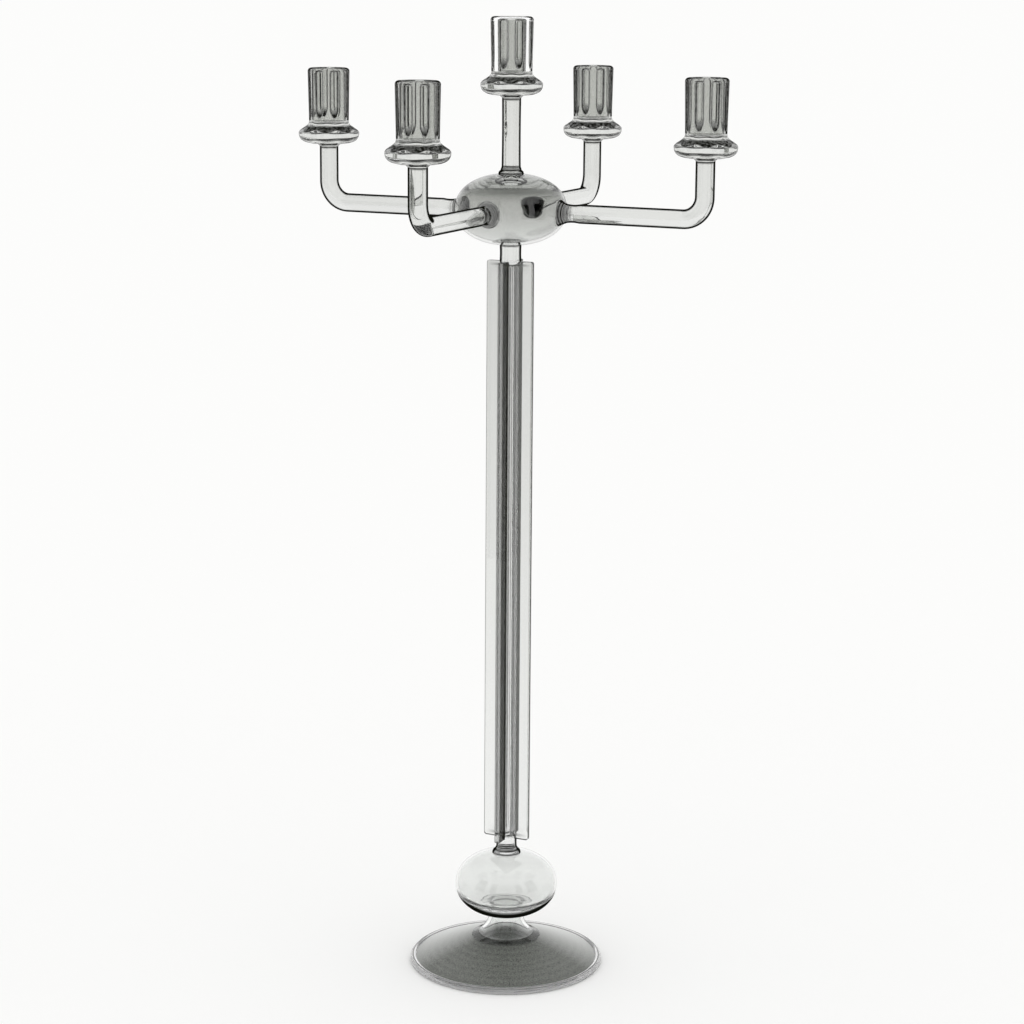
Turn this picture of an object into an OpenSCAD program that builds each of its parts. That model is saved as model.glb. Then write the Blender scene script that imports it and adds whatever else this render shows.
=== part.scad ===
// Five-light candelabrum of flame-worked glass: a hollow foot, a lower bulb, a finned column, a hub bulb,
// four bent arms and a centre stem, each with a ribbed candle socket on a bulged drip collar.
// The origin is the centre of the foot's resting face, +Z is up, and the arms lie along X and Y.

/* [Foot] */
// Outer diameter of the foot over its rim
foot_d = 127.6; // [100:1:160]
// Thickness of the rolled rim
rim_t = 4.8; // [4:0.1:7]
// How far the rim is ground flat below its round section
rim_ground = 0.25; // [0.1:0.05:0.6]
// Wall of the dish
dish_wall = 2.6; // [2:0.1:3.2]
// Rise of the dish from its edge to its middle
dish_rise = 20; // [14:1:26]
// Height of the lower bulb's underside above the table
foot_h = 32.8; // [30:0.1:48]
// Outer diameter of the foot's neck at its narrowest
foot_neck_d = 22.7; // [18:0.1:28]
// Wall of the foot's neck
foot_neck_wall = 2.4; // [1.6:0.1:3]
// How far the neck flares out over the dish
foot_flare = 11.2; // [6:0.2:16]
// Thickness of the edge of that flare
foot_flare_edge = 0.6; // [0.3:0.1:1.2]

/* [Lower bulb] */
// Diameter of the lower bulb
bulb_d = 67.2; // [50:1:90]
// Height of the lower bulb
bulb_h = 43.2; // [32:0.2:60]
// Wall of the lower bulb at its sides and top
bulb_wall = 1.6; // [1.2:0.1:3]
// Glass left thick at the base of the lower bulb
bulb_base = 8; // [3:0.2:12]
// How far the skirt on the lower bulb flares out from the neck
lower_seal_flare = 2.6; // [1.4:0.1:5]
// Height of the skirt on the lower bulb
lower_seal_h = 4; // [3:0.2:7]
// Diameter of the neck between the lower bulb and the column
lower_neck_d = 13.6; // [11:0.2:15]
// Length of that neck, skirt included
lower_neck_l = 9.9; // [8:0.1:20]

/* [Column] */
// Length of the finned column
column_l = 382.5; // [250:0.5:520]
// Width of the column over two opposite fins
fin_span = 32.2; // [26:0.2:40]
// Thickness of one fin
fin_t = 3.6; // [2.8:0.1:5]
// Radius of the hollow curve between two fins
valley_r = 6; // [4:0.2:7]
// Rounding of the fins' edges
fin_edge_r = 1.3; // [0.6:0.1:1.4]
// Rounding of the fins' corners at both ends
fin_corner_r = 2; // [1:0.2:4]
// Diameter of the neck between the column and the hub
upper_neck_d = 13.8; // [11:0.2:15]
// Length of that neck
upper_neck_l = 9.9; // [6:0.1:20]

/* [Hub] */
// Diameter of the hub bulb
hub_d = 71; // [54:1:90]
// Height of the hub bulb
hub_h = 45.2; // [36:0.2:60]
// Wall of the hub bulb at its sides and bottom
hub_wall = 1.6; // [1.2:0.1:3]
// Glass left thick at the top of the hub bulb
hub_top = 4.5; // [3:0.1:10]
// How far the ring under the centre stem flares out from the rod
top_seal_flare = 2.1; // [1:0.1:5]
// Height of that ring
top_seal_h = 4.4; // [3:0.2:7]
// How far the ridged rings stand out from the arms where they meet the hub
arm_seal_flare = 2.1; // [1:0.1:4]
// Length of the ridged rings
arm_seal_l = 5; // [4:0.2:8]
// How far the ridged rings start inside the widest place of the hub
arm_seal_sink = 2; // [0:0.1:3]
// How far the arms lie below the middle of the hub
arm_drop = 0.9; // [0:0.1:3]

/* [Arms] */
// Distance from the centre line to the axis of each outer candle
reach = 130; // [100:1:170]
// Diameter of the glass rod of the arms and the centre stem
rod_d = 12; // [10:0.2:13]
// Radius of the arms' bend along the middle of the rod
bend_r = 14; // [10:0.5:22]
// Height of the outer drip collars above the middle of the arms
arm_rise = 44.6; // [36:0.2:80]
// Height of the centre drip collar above the middle of the arms
centre_rise = 79; // [50:0.5:120]

/* [Candle cups] */
// Diameter of the hole for the candle
candle_d = 22; // [16:0.1:40]
// Wall of the socket at the crest of a rib, at its foot
socket_wall = 1.8; // [1.4:0.1:4]
// How much further the crests stand out at the rim
socket_flare = 1.4; // [0:0.1:4]
// Height of the socket above its drip collar
socket_h = 33.4; // [24:0.2:45]
// Number of ribs round a socket
ribs = 8; // [6:1:12]
// Depth of the hollows between the ribs
rib_depth = 0.8; // [0.3:0.1:1.2]
// How far a drip collar stands out past the foot of its socket
collar_reach = 6.7; // [3:0.1:12]
// Height of a collar above its widest place
collar_up = 8; // [6:0.2:12]
// Height of a collar below its widest place
collar_down = 8.6; // [6:0.1:12]

/* [Hidden] */
$fn = 72;
// Steps in a quarter of a bulb's outline, and in a short curve
BULB_STEPS = 12;
CURVE_STEPS = 6;
// Exponents of the dish's slope, of the bulbs' outlines (2 would be an oval), of the square-shouldered side
// of their cavities, and of a drip collar's round underside and hollow upper side
DISH_BOW = 1.25;
BULB_BOW = 2.2;
CAVITY_BOW = 2.8;
COLLAR_BOW = 2.6;
COLLAR_SWEEP = 1.5;
// Points round one rib, and how far the ribs are turned from the arms' directions, as a share of a rib
RIB_STEPS = 8;
RIB_TURN = 0.5;
// Size of the small fillet where a drip collar runs onto its rod
COLLAR_FILLET = 1.6;
// How far inside the middle of the rim's section the dish ends, as a share of its thickness
DISH_SEAT = 0.4;
// How many ridges a ridged ring has, how far they stand proud, and where a crest lies in its pitch
RIDGES = 3;
RIDGE = 0.35;
CREST = [0.35, 0.65];
// Larger than anything that is cut away
FAR = 400;

rod_r = rod_d / 2;
rim_z = rim_t / 2 - rim_ground;
rim_r = (foot_d - rim_t) / 2;
dish_r = rim_r - rim_t * DISH_SEAT;
dish_edge_z = rim_z + rim_t * sqrt(0.25 - DISH_SEAT * DISH_SEAT);
bulb_z = foot_h + bulb_h / 2;
bulb_top = foot_h + bulb_h;
column_z = bulb_top + lower_neck_l;
column_top = column_z + column_l;
hub_bottom = column_top + upper_neck_l;
hub_z = hub_bottom + hub_h / 2;
hub_top_z = hub_bottom + hub_h;
arm_z = hub_z - arm_drop;
arm_start = hub_d / 2 - arm_seal_sink + arm_seal_l;
fin_r = fin_span / 2;
fin_half = fin_t / 2;
// A fin's edges can't be rounder than the fin is thick
edge_r = min(fin_edge_r, fin_half * 0.95);
socket_foot_r = candle_d / 2 + socket_wall;
socket_rim_r = socket_foot_r + socket_flare;
collar_r = socket_foot_r + collar_reach;

// Each arm: its name and the direction it points
ARMS = [["right", 0], ["back", 90], ["left", 180], ["front", 270]];
CUPS = concat(["centre"], [for (a = ARMS) a[0]]);

// Points along an ellipse with half-axes a and c round [x, z], from angle a0 to a1.
function ellipse_arc(x, z, a, c, a0, a1, steps) =
    [for (i = [0:steps]) let (t = a0 + (a1 - a0) * i / steps) [x + a * cos(t), z + c * sin(t)]];

// A point at angle t on an oval with half-axes a and c round height z, which the exponent makes squarer.
function oval_point(z, a, c, t, exponent) =
    let (bow = 2 / exponent)
        [abs(t) == 90 ? 0 : a * pow(cos(t), bow), z + c * sign(t) * pow(abs(sin(t)), bow)];

// Half outline of a bulb's outside, from its lowest to its highest point.
function bulb_outline(z, d, h) =
    [for (i = [0:2 * BULB_STEPS]) oval_point(z, d / 2, h / 2, -90 + 90 * i / BULB_STEPS, BULB_BOW)];

// Half outline of a bulb's cavity round height z, which reaches "thin" on its round side and "thick" on the
// side where the glass is thick and the cavity has square shoulders: above when up is 1, below when it is -1.
function cavity_outline(z, r, thin, thick, up) = [
    for (i = [0:2 * BULB_STEPS])
        let (t = -90 + 90 * i / BULB_STEPS, heavy = t * up > 0)
            oval_point(z, r, heavy ? thick : thin, t, heavy ? CAVITY_BOW : BULB_BOW)
];

// Height of the dish's upper face at radius r.
function dish_z(r) = dish_edge_z + dish_rise * (1 - pow(r / dish_r, DISH_BOW));

// Upper face of the dish from its middle to its edge.
function dish_face(drop) =
    [for (i = [0:2 * BULB_STEPS]) let (r = dish_r * i / (2 * BULB_STEPS)) [r, dish_z(r) - drop]];

// Outline of the column's section: a cross with hollow curves between the fins and rounded edges.
function quarter(points, turn) =
    [for (p = points) [p[0] * cos(turn) - p[1] * sin(turn), p[0] * sin(turn) + p[1] * cos(turn)]];
function fin_points() =
    let (e = fin_r - edge_r, s = fin_half - edge_r, v = fin_half + valley_r)
        concat(
            ellipse_arc(e, -s, edge_r, edge_r, -90, 0, CURVE_STEPS),
            ellipse_arc(e, s, edge_r, edge_r, 0, 90, CURVE_STEPS),
            ellipse_arc(v, v, valley_r, valley_r, 270, 180, 2 * CURVE_STEPS)
        );
function cross_outline() = [for (turn = [0, 90, 180, 270]) each quarter(fin_points(), turn)];

// Outline of a ribbed tube whose crests stand at radius r.
function ribbed_outline(r) = [
    for (i = [0:ribs * RIB_STEPS - 1])
        let (
            t = 360 * i / (ribs * RIB_STEPS),
            q = r - rib_depth * (1 - cos(ribs * t - 360 * RIB_TURN)) / 2
        )
            [q * cos(t), q * sin(t)]
];

module foot_rim() {
    color("gainsboro")
        rotate_extrude()
            difference() {
                translate([rim_r, rim_z])
                    circle(r = rim_t / 2);
                translate([0, -FAR])
                    square([FAR, FAR]);
                square([dish_r, FAR]);
            }
}

module dish_section() {
    polygon(concat(dish_face(0), [[dish_r, dish_edge_z - dish_wall], [0, dish_edge_z - dish_wall]]));
}

module foot_dish() {
    color("dimgray")
        rotate_extrude()
            difference() {
                dish_section();
                polygon(concat(dish_face(dish_wall), [[dish_r, -FAR], [0, -FAR]]));
            }
}

// Half section of the trumpet's outside or, inset by its wall, its inside. It leaves the dish with a small
// edge, ends upright under the bulb, and runs on into both, where it is cut.
module trumpet_section(inset) {
    neck = foot_neck_d / 2 - inset;
    flare = neck + foot_flare - inset;
    lift = foot_h - dish_z(neck) - foot_flare_edge;
    polygon(concat(
        [[0, 0], [flare, 0]],
        [for (i = [0:BULB_STEPS]) let (t = 90 * i / BULB_STEPS, r = flare - (flare - neck) * sin(t))
            [r, dish_z(r) + foot_flare_edge + lift * (1 - cos(t))]],
        [[neck, bulb_z], [0, bulb_z]]
    ));
}

module foot_neck() {
    color("whitesmoke")
        rotate_extrude()
            difference() {
                trumpet_section(0);
                trumpet_section(foot_neck_wall);
                polygon(concat(dish_face(0), [[dish_r, -FAR], [0, -FAR]]));
                polygon(bulb_outline(bulb_z, bulb_d, bulb_h));
            }
}

module lower_bulb() {
    color("whitesmoke")
        difference() {
            rotate_extrude()
                polygon(bulb_outline(bulb_z, bulb_d, bulb_h));
            rotate_extrude()
                polygon(cavity_outline(bulb_z, bulb_d / 2 - bulb_wall,
                    bulb_h / 2 - bulb_wall, bulb_h / 2 - bulb_base, -1));
        }
}

// Half section of a ring on top of a bulb, from radius r at its top out by its flare. It runs on into the
// bulb by the drop, where it is cut.
module flared_ring(z, drop, h, r, flare) {
    polygon(concat(
        [[0, z - drop], [r + flare, z - drop]],
        ellipse_arc(r + flare, z + h, flare, h, 270, 180, CURVE_STEPS),
        [[0, z + h]]
    ));
}

module lower_seal() {
    color("gainsboro")
        rotate_extrude()
            difference() {
                flared_ring(bulb_top, bulb_h / 4, lower_seal_h, lower_neck_d / 2, lower_seal_flare);
                polygon(bulb_outline(bulb_z, bulb_d, bulb_h));
            }
}

module lower_neck() {
    color("gainsboro")
        translate([0, 0, bulb_top + lower_seal_h])
            cylinder(d = lower_neck_d, h = lower_neck_l - lower_seal_h);
}

module column() {
    color("lightgray")
        intersection() {
            translate([0, 0, column_z])
                linear_extrude(height = column_l)
                    polygon(cross_outline());
            rotate_extrude()
                polygon(concat(
                    [[0, column_z]],
                    ellipse_arc(fin_r - fin_corner_r, column_z + fin_corner_r,
                        fin_corner_r, fin_corner_r, 270, 360, CURVE_STEPS),
                    ellipse_arc(fin_r - fin_corner_r, column_top - fin_corner_r,
                        fin_corner_r, fin_corner_r, 0, 90, CURVE_STEPS),
                    [[0, column_top]]
                ));
        }
}

module upper_neck() {
    color("gainsboro")
        difference() {
            translate([0, 0, column_top])
                cylinder(d = upper_neck_d, h = upper_neck_l + hub_h / 4);
            hub_outside();
        }
}

module hub_outside() {
    rotate_extrude()
        polygon(bulb_outline(hub_z, hub_d, hub_h));
}

module hub_bulb() {
    color("silver")
        difference() {
            hub_outside();
            rotate_extrude()
                polygon(cavity_outline(hub_z, hub_d / 2 - hub_wall,
                    hub_h / 2 - hub_wall, hub_h / 2 - hub_top, 1));
        }
}

module top_seal() {
    color("gainsboro")
        rotate_extrude()
            difference() {
                flared_ring(hub_top_z, hub_h / 4, top_seal_h, rod_r, top_seal_flare);
                polygon(bulb_outline(hub_z, hub_d, hub_h));
            }
}

module centre_stem() {
    color("gainsboro")
        translate([0, 0, hub_top_z + top_seal_h])
            cylinder(d = rod_d, h = arm_z + centre_rise - collar_down - hub_top_z - top_seal_h);
}

// A ridged ring along X, from inside the hub out to the start of the rod.
module ridged_ring() {
    pitch = arm_seal_l / RIDGES;
    translate([arm_start - arm_seal_l, 0, arm_z])
        rotate([0, 90, 0])
            rotate_extrude()
                polygon(concat(
                    [[0, -hub_d / 8], [rod_r + arm_seal_flare, -hub_d / 8]],
                    [for (i = [0:RIDGES - 1]) each
                        let (
                            z = pitch * i,
                            r = rod_r + (arm_seal_flare - RIDGE) * (1 - i / (RIDGES - 1)),
                            crest = r + RIDGE
                        )
                            [[r, z], [crest, z + pitch * CREST[0]], [crest, z + pitch * CREST[1]]]],
                    [[rod_r, arm_seal_l], [0, arm_seal_l]]
                ));
}

module arm_seal(turn) {
    color("darkgray")
        difference() {
            rotate([0, 0, turn])
                ridged_ring();
            hub_outside();
        }
}

// One bent rod, from its ring on the hub out along X and up to its drip collar.
module arm(turn) {
    color("gainsboro")
        rotate([0, 0, turn]) {
            translate([arm_start, 0, arm_z])
                rotate([0, 90, 0])
                    cylinder(d = rod_d, h = reach - bend_r - arm_start);
            translate([reach - bend_r, 0, arm_z + bend_r])
                rotate([90, 0, 0])
                    rotate_extrude(angle = 90, start = 270)
                        translate([bend_r, 0])
                            circle(r = rod_r);
            translate([reach, 0, arm_z + bend_r])
                cylinder(d = rod_d, h = arm_rise - collar_down - bend_r);
        }
}

// A drip collar, with its widest place at z = 0.
module drip_collar() {
    shoulder = rod_r + COLLAR_FILLET;
    low = collar_down - COLLAR_FILLET;
    color("silver")
        rotate_extrude()
            polygon(concat(
                [[0, -collar_down], [rod_r, -collar_down]],
                [for (i = [0:BULB_STEPS])
                    let (p = oval_point(0, collar_r - shoulder, low, 90 * i / BULB_STEPS - 90, COLLAR_BOW))
                        [shoulder + p[0], p[1]]],
                [for (i = [1:BULB_STEPS])
                    let (u = i / BULB_STEPS, sweep = pow((1 + cos(180 * u)) / 2, COLLAR_SWEEP))
                        [socket_foot_r + collar_reach * sweep, collar_up * u]],
                [[0, collar_up]]
            ));
}

// A ribbed candle socket on its collar, in the collar's frame.
module socket() {
    color("silver")
        translate([0, 0, collar_up])
            difference() {
                linear_extrude(height = socket_h, scale = socket_rim_r / socket_foot_r)
                    polygon(ribbed_outline(socket_foot_r));
                translate([0, 0, -socket_h])
                    cylinder(d = candle_d, h = 3 * socket_h);
            }
}

foot_rim();
foot_dish();
foot_neck();
lower_bulb();
lower_seal();
lower_neck();
column();
upper_neck();
hub_bulb();
top_seal();
centre_stem();
for (a = ARMS) {
    arm_seal(a[1]);
    arm(a[1]);
    rotate([0, 0, a[1]]) translate([reach, 0, arm_z + arm_rise]) drip_collar();
    rotate([0, 0, a[1]]) translate([reach, 0, arm_z + arm_rise]) socket();
}
translate([0, 0, arm_z + centre_rise]) drip_collar();  // drip_collar_centre
translate([0, 0, arm_z + centre_rise]) socket();  // socket_centre
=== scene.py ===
from math import acos, atan2, copysign, cos, degrees, exp, pi, radians, sin, sqrt, tau

import bmesh
import bpy
from mathutils import Euler, Matrix, Vector


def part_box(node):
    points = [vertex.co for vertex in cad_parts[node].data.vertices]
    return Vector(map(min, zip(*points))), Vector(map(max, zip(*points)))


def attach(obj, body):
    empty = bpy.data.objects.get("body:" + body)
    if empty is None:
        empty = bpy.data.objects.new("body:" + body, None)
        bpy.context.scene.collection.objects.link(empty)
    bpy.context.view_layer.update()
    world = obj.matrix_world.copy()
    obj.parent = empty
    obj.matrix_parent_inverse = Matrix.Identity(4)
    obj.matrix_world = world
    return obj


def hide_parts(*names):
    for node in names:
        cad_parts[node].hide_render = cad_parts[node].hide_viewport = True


# A five-light candelabrum of flame-worked glass. Lengths in this script are in millimetres, as a
# glassworker would give them, and MM turns them into the frame's metres. Every piece stands where its CAD
# node stands.
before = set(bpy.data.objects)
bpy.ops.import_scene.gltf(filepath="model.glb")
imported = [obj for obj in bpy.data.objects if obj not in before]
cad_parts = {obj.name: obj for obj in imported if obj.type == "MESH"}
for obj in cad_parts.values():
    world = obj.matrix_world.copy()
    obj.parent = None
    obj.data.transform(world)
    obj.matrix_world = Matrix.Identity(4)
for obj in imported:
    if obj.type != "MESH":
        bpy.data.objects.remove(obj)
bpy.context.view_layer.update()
MM = 0.001


def low(node):
    """The lowest corner of a CAD node's box, in millimetres."""
    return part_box(node)[0] / MM


def high(node):
    """The highest corner of a CAD node's box, in millimetres."""
    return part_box(node)[1] / MM


# ---- Sizes read from the frame --------------------------------------------------------------------------

foot_r = high("foot_rim").x
dish_r = high("foot_dish").x
dish_top = high("foot_dish").z
flare_r = high("foot_neck").x
bulb_r = high("lower_bulb").x
bulb_low = low("lower_bulb").z
bulb_top = high("lower_bulb").z
lower_seal_r = high("lower_seal").x
lower_seal_top = high("lower_seal").z
lower_neck_r = high("lower_neck").x
column_low = low("column").z
column_top = high("column").z
fin_r = high("column").x
upper_neck_r = high("upper_neck").x
hub_r = high("hub_bulb").x
hub_low = low("hub_bulb").z
hub_top = high("hub_bulb").z
top_seal_r = high("top_seal").x
top_seal_top = high("top_seal").z
rod_r = high("centre_stem").x
seal_r = high("arm_seal_right").y
seal_end = high("arm_seal_right").x
arm_z = (low("arm_seal_right").z + high("arm_seal_right").z) / 2
reach = (low("socket_right").x + high("socket_right").x) / 2
stem_top = high("centre_stem").z
collar_r = high("drip_collar_centre").x
socket_r = high("socket_centre").x
socket_height = high("socket_centre").z - low("socket_centre").z
# The two bulbs: height of the middle, half-width and half-height
bulb_z, hub_z = (bulb_low + bulb_top) / 2, (hub_low + hub_top) / 2
bulb_c, hub_c = (bulb_top - bulb_low) / 2, (hub_top - hub_low) / 2
lower_oval = (bulb_z, bulb_r, bulb_c)
hub_oval = (hub_z, hub_r, hub_c)

# ---- Sections that a box doesn't tell, as the CAD model has them ----------------------------------------

# Foot: how thick the rolled rim is, the dish's wall and how full its curve is, and the trumpet's upright
# part, its wall, how far it flares and the height of its edge
RIM_T = 4.8
DISH_WALL = 2.6
DISH_BOW = 1.25
FOOT_NECK_R = 11.35
FOOT_NECK_WALL = 2.4
FLARE = 11.2
FLARE_EDGE = 0.6
# Bulbs: their walls, the lower one's thick base and the hub's thick top, and how square the outsides and
# the thick ends of the cavities are, where 2 is a true oval
BULB_WALL = 1.6
BULB_BASE = 8.0
HUB_WALL = 1.6
HUB_THICK_TOP = 4.5
BULB_BOW = 2.2
CAVITY_BOW = 2.8
# Column: half a fin's thickness, the rounding of its edges and of its corners, and the hollow between two
# fins
FIN_HALF = 1.8
FIN_EDGE_R = 1.3
FIN_CORNER_R = 2.0
VALLEY_R = 6.0
# Arms: length of a ridged ring, and the bend
ARM_SEAL_L = 5.0
BEND_R = 14.0
# Cups: the bore, the socket's foot, the collar above and below its widest ring, how square its underside
# is, how its top sweeps in, and its fillet to the rod
BORE_R = 11.0
SOCKET_FOOT_R = 12.8
COLLAR_UP = 8.0
COLLAR_DOWN = 8.6
COLLAR_BOW = 2.6
COLLAR_SWEEP = 1.5
COLLAR_FILLET = 1.6
RIBS = 8

# ---- What the flame left, which the CAD model leaves out ------------------------------------------------

# How much a length of rod thins between two junctions
WAIST = 0.15
# Rounding of the fins' ends, how far a neck's tongues reach into the hollows between the fins, and how
# wide a tongue still is at its tip, as a share of the neck
END_ROUND = 0.7
TONGUE = 3.6
TONGUE_TIP = 0.5
# Painted shade: dark lines round the rim of the foot, where its turn would bend the light away: angle round
# its section in degrees, half width, and how dark
RIM_LINES = ((126, 8, 0.9), (78, 10, 1.0), (22, 6, 0.5), (-50, 10, 0.6))
# Painted shade in the lower bulb's thick base: how far up from its foot it reaches, over what height it
# fades, and how dark it makes the air's surface
THICK_BASE = 17
THICK_FADE = 5
THICK_INSIDE = 0.3
# Folds in an arm's ring, and how deep they are
SEAL_FOLDS = 3
FOLD = 0.8
# The rings of a bulb's skirt, and how far they stand out on the lower bulb and on the hub
SKIRT_RINGS = 2
LOWER_RIPPLE = 0.5
TOP_RIPPLE = 0.4
# Painted shade: the dark scroll at each tongue of the column, where the glass would bend the light away: how
# far along the tongue, its half width, and how far out it reaches and fades
SCROLL_AT = 0.7
SCROLL_SPREAD = 0.8
SCROLL_REACH = 9.0
SCROLL_FADE = 2.0
# Painted shade: the two dark streaks in each hollow of the column: how far they lie from its middle, and
# their half width, as angles round the hollow
STREAK_ANGLE = radians(18)
STREAK_SPREAD = radians(5)
# Painted shade on the hub for what would show through it: the width of a rod's end beyond the rod and of its
# soft edge, the half width of its collar, and how dark the neck's end is painted below, with how far it goes
# and fades past the neck
DISC_OVER = 1.2
DISC_EDGE = 0.6
DISC_COLLAR = 0.4
NECK_SHADE = 0.35
NECK_SHADE_OVER = 1.0
NECK_SHADE_FADE = 1.5
# Dark rings where a rod is fused on, as (distance from the joint, half width): under the hub, under a
# collar and past an arm's ridged ring, where it is fainter
HUB_JOINT = (0.2, 0.8)
COLLAR_JOINT = (0.6, 0.7)
SEAL_JOINT = (1.0, 1.2)
SEAL_JOINT_SHADE = 0.5
# How far past its ring an arm is drawn thinner, by how much, and how much it swells at the bend
THIN_LENGTH = 9.0
THINNED = 0.4
SWELL = 0.15
# The hollows pressed between a socket's ribs: depth at the foot and at the rim, how wide their floor is
# and how wide their flanks are (as parts of a rib's cosine), and how far they stop short of the foot and
# of the rim
HOLLOW_DEPTH = (0.9, 1.6)
HOLLOW_WIDTH = 0.30
HOLLOW_FLANK = 0.62
HOLLOW_FOOT = (1.6, 7.0)
HOLLOW_RIM = (1.2, 2.2)
# Painted shade: a hollow's floor is dark below the first height and clears over the second
HOLLOW_DARK_FOOT = (9.0, 6.0)
# A socket's lip, outer and inner round
LIP = 2.3
LIP_INNER = 0.7
# Painted shade: the dark line along a hollow's upper end: how dark, how far below that end, and its half
# width
LIP_LINE_SHADE = 0.9
LIP_LINE_DROP = 0.6
LIP_LINE_SPREAD = 0.5
# How deep a collar is pinched into lobes, and how much a socket's floor is dished
PINCH = 0.9
BORE_DISH = 1.6
# Painted shade: a collar's dark band: how dark, from which height to which, how far its lower edge waves,
# how both edges fade, and from which radius it shows, with its fade
BAND_SHADE = 0.97
BAND_LOW = 0.9
BAND_HIGH = 5.0
BAND_WAVE = 0.8
BAND_FADE = (0.8, 0.7)
BAND_REACH = 12.5
BAND_REACH_FADE = 1.5
# Painted shade: the dark line round its underside: how dark, how far below the widest ring, how far it
# waves, and its half width
UNDER_SHADE = 0.5
UNDER_DROP = 4.6
UNDER_WAVE = 0.7
UNDER_SPREAD = 0.6
# How dark the socket's floor is painted: painted shade in the recess
FLOOR_SHADE = 0.25

# ---- Values that follow from these ----------------------------------------------------------------------

valley_centre = FIN_HALF + VALLEY_R
rim_r = foot_r - RIM_T / 2
rim_z = high("foot_rim").z - RIM_T / 2
dish_edge = rim_z + sqrt((RIM_T / 2) ** 2 - (rim_r - dish_r) ** 2)

# Slots on every piece: the glass itself, and the face where it melted into its neighbour
GLASS, SEAM = 0, 1
# Points round a lathed piece, and round an arm
SEGMENTS = 128
ARM_SEGMENTS = 64
# Edges that turn more than this stay crisp
SHARP = radians(50)
# Attributes: the painted shade of a place, from 0 to 1, which darkens the glass's tint where folds and thick
# glass would turn the light away, and which way a rod was drawn
DARK = "dark"
ALONG = "along"
UPRIGHT = Vector((0, 0, 1))
OUTWARD = Vector((1, 0, 0))

# ---- Shapes ---------------------------------------------------------------------------------------------


def steps(a, b, n):
    """n + 1 even values from a to b."""
    return [a + (b - a) * i / n for i in range(n + 1)]


def smooth(u):
    """An even rise from 0 to 1 that starts and ends gently."""
    u = min(max(u, 0.0), 1.0)
    return u * u * (3 - 2 * u)


def line(distance, width):
    """A soft dark line: 1 where the distance is 0, fading within about its width."""
    return exp(-((distance / width) ** 2))


def bow(t, exponent):
    """Cosine and sine of an angle in degrees on a squared oval. An exponent of 2 leaves them as they
    are."""
    c, s = cos(radians(t)), sin(radians(t))
    return max(c, 0) ** (2 / exponent), copysign(abs(s) ** (2 / exponent), s)


def on_oval(bulb, t):
    """The point on a bulb's outline at an angle in degrees: 0 is at its side, 90 on its top."""
    z, half_width, half_height = bulb
    across, up = bow(t, BULB_BOW)
    return half_width * across, z + half_height * up


def oval(bulb, start, end, n):
    """Points on a bulb's outline between two angles in degrees."""
    return [on_oval(bulb, t) for t in steps(start, end, n)]


def at_radius(r, bulb):
    """The angle at which a bulb has radius r, in degrees above its middle."""
    return degrees(acos((r / bulb[1]) ** (BULB_BOW / 2)))


def outline(*stretches):
    """Joins stretches of (finish, points) into one outline: its points, and the finish of each band."""
    points, bands = [], []
    for finish, stretch in stretches:
        for r, z in stretch:
            r = 0.0 if r < 1e-6 else r
            if points and abs(points[-1][0] - r) + abs(points[-1][1] - z) < 1e-6:
                continue
            if points:
                bands.append(finish)
            points.append((r, z))
    return points, bands


def ring(radius, z, n=SEGMENTS):
    """A level ring of points about the Z axis. The radius may be a function of the angle; 0 gives one
    point."""
    if radius == 0:
        return [Vector((0, 0, z))]
    turn = [tau * i / n for i in range(n)]
    radii = [radius(t) if callable(radius) else radius for t in turn]
    return [Vector((r * cos(t), r * sin(t), z)) for r, t in zip(radii, turn)]


def shell(rows, bands, loop=False, darkness=None, along=None):
    """A skin of rings, each band's finish, whether it closes on itself, how much painted shade each point
    takes, and which way the glass was drawn at each ring."""
    shades = [[darkness(p) if darkness else 0.0 for p in row] for row in rows]
    return rows, bands, loop, shades, along or [Vector()] * len(rows)


def lathe(shape, darkness=None, along=None):
    """An outline turned about the Z axis. Its darkness is a function of a point, as in a shell."""
    points, bands = shape
    loop = points[0][0] > 0
    if loop:
        points = points[:-1]
    return shell([ring(r, z) for r, z in points], bands, loop, darkness, along and [along] * len(points))


def placed(made, matrix):
    """A shell moved and turned by a matrix."""
    rows, bands, loop, shades, along = made
    turned = [matrix.to_3x3() @ way for way in along]
    return [[matrix @ p for p in row] for row in rows], bands, loop, shades, turned


def skin(mesh, skin_shell, hollow=False):
    """Adds a closed shell to a mesh. A hollow shell faces inwards: it bounds air inside the glass."""
    rows, bands, loop, shades, along = skin_shell
    layers = mesh.verts.layers
    dark = layers.float.get(DARK) or layers.float.new(DARK)
    drawn = layers.float_vector.get(ALONG) or layers.float_vector.new(ALONG)
    made, faces = [], []
    for row, shade, way in zip(rows, shades, along):
        made.append([mesh.verts.new(p * MM) for p in row])
        for vert, value in zip(made[-1], shade):
            vert[dark] = min(max(value, 0.0), 1.0)
            vert[drawn] = way
    if loop:
        made.append(made[0])
    for below, above, finish in zip(made, made[1:], bands):
        n = max(len(below), len(above))
        for i in range(n):
            j = (i + 1) % n
            corners = [row[k % len(row)] for row, k in ((below, i), (below, j), (above, j), (above, i))]
            face = mesh.faces.new(list(dict.fromkeys(corners)))
            face.material_index = finish
            face.smooth = True
            faces.append(face)
    bmesh.ops.recalc_face_normals(mesh, faces=faces)
    if hollow:
        bmesh.ops.reverse_faces(mesh, faces=faces)
    for edge in {edge for face in faces for edge in face.edges}:
        sides = edge.link_faces
        same = len(sides) == 2 and sides[0].material_index == sides[1].material_index
        edge.smooth = same and edge.calc_face_angle() < SHARP


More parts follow.
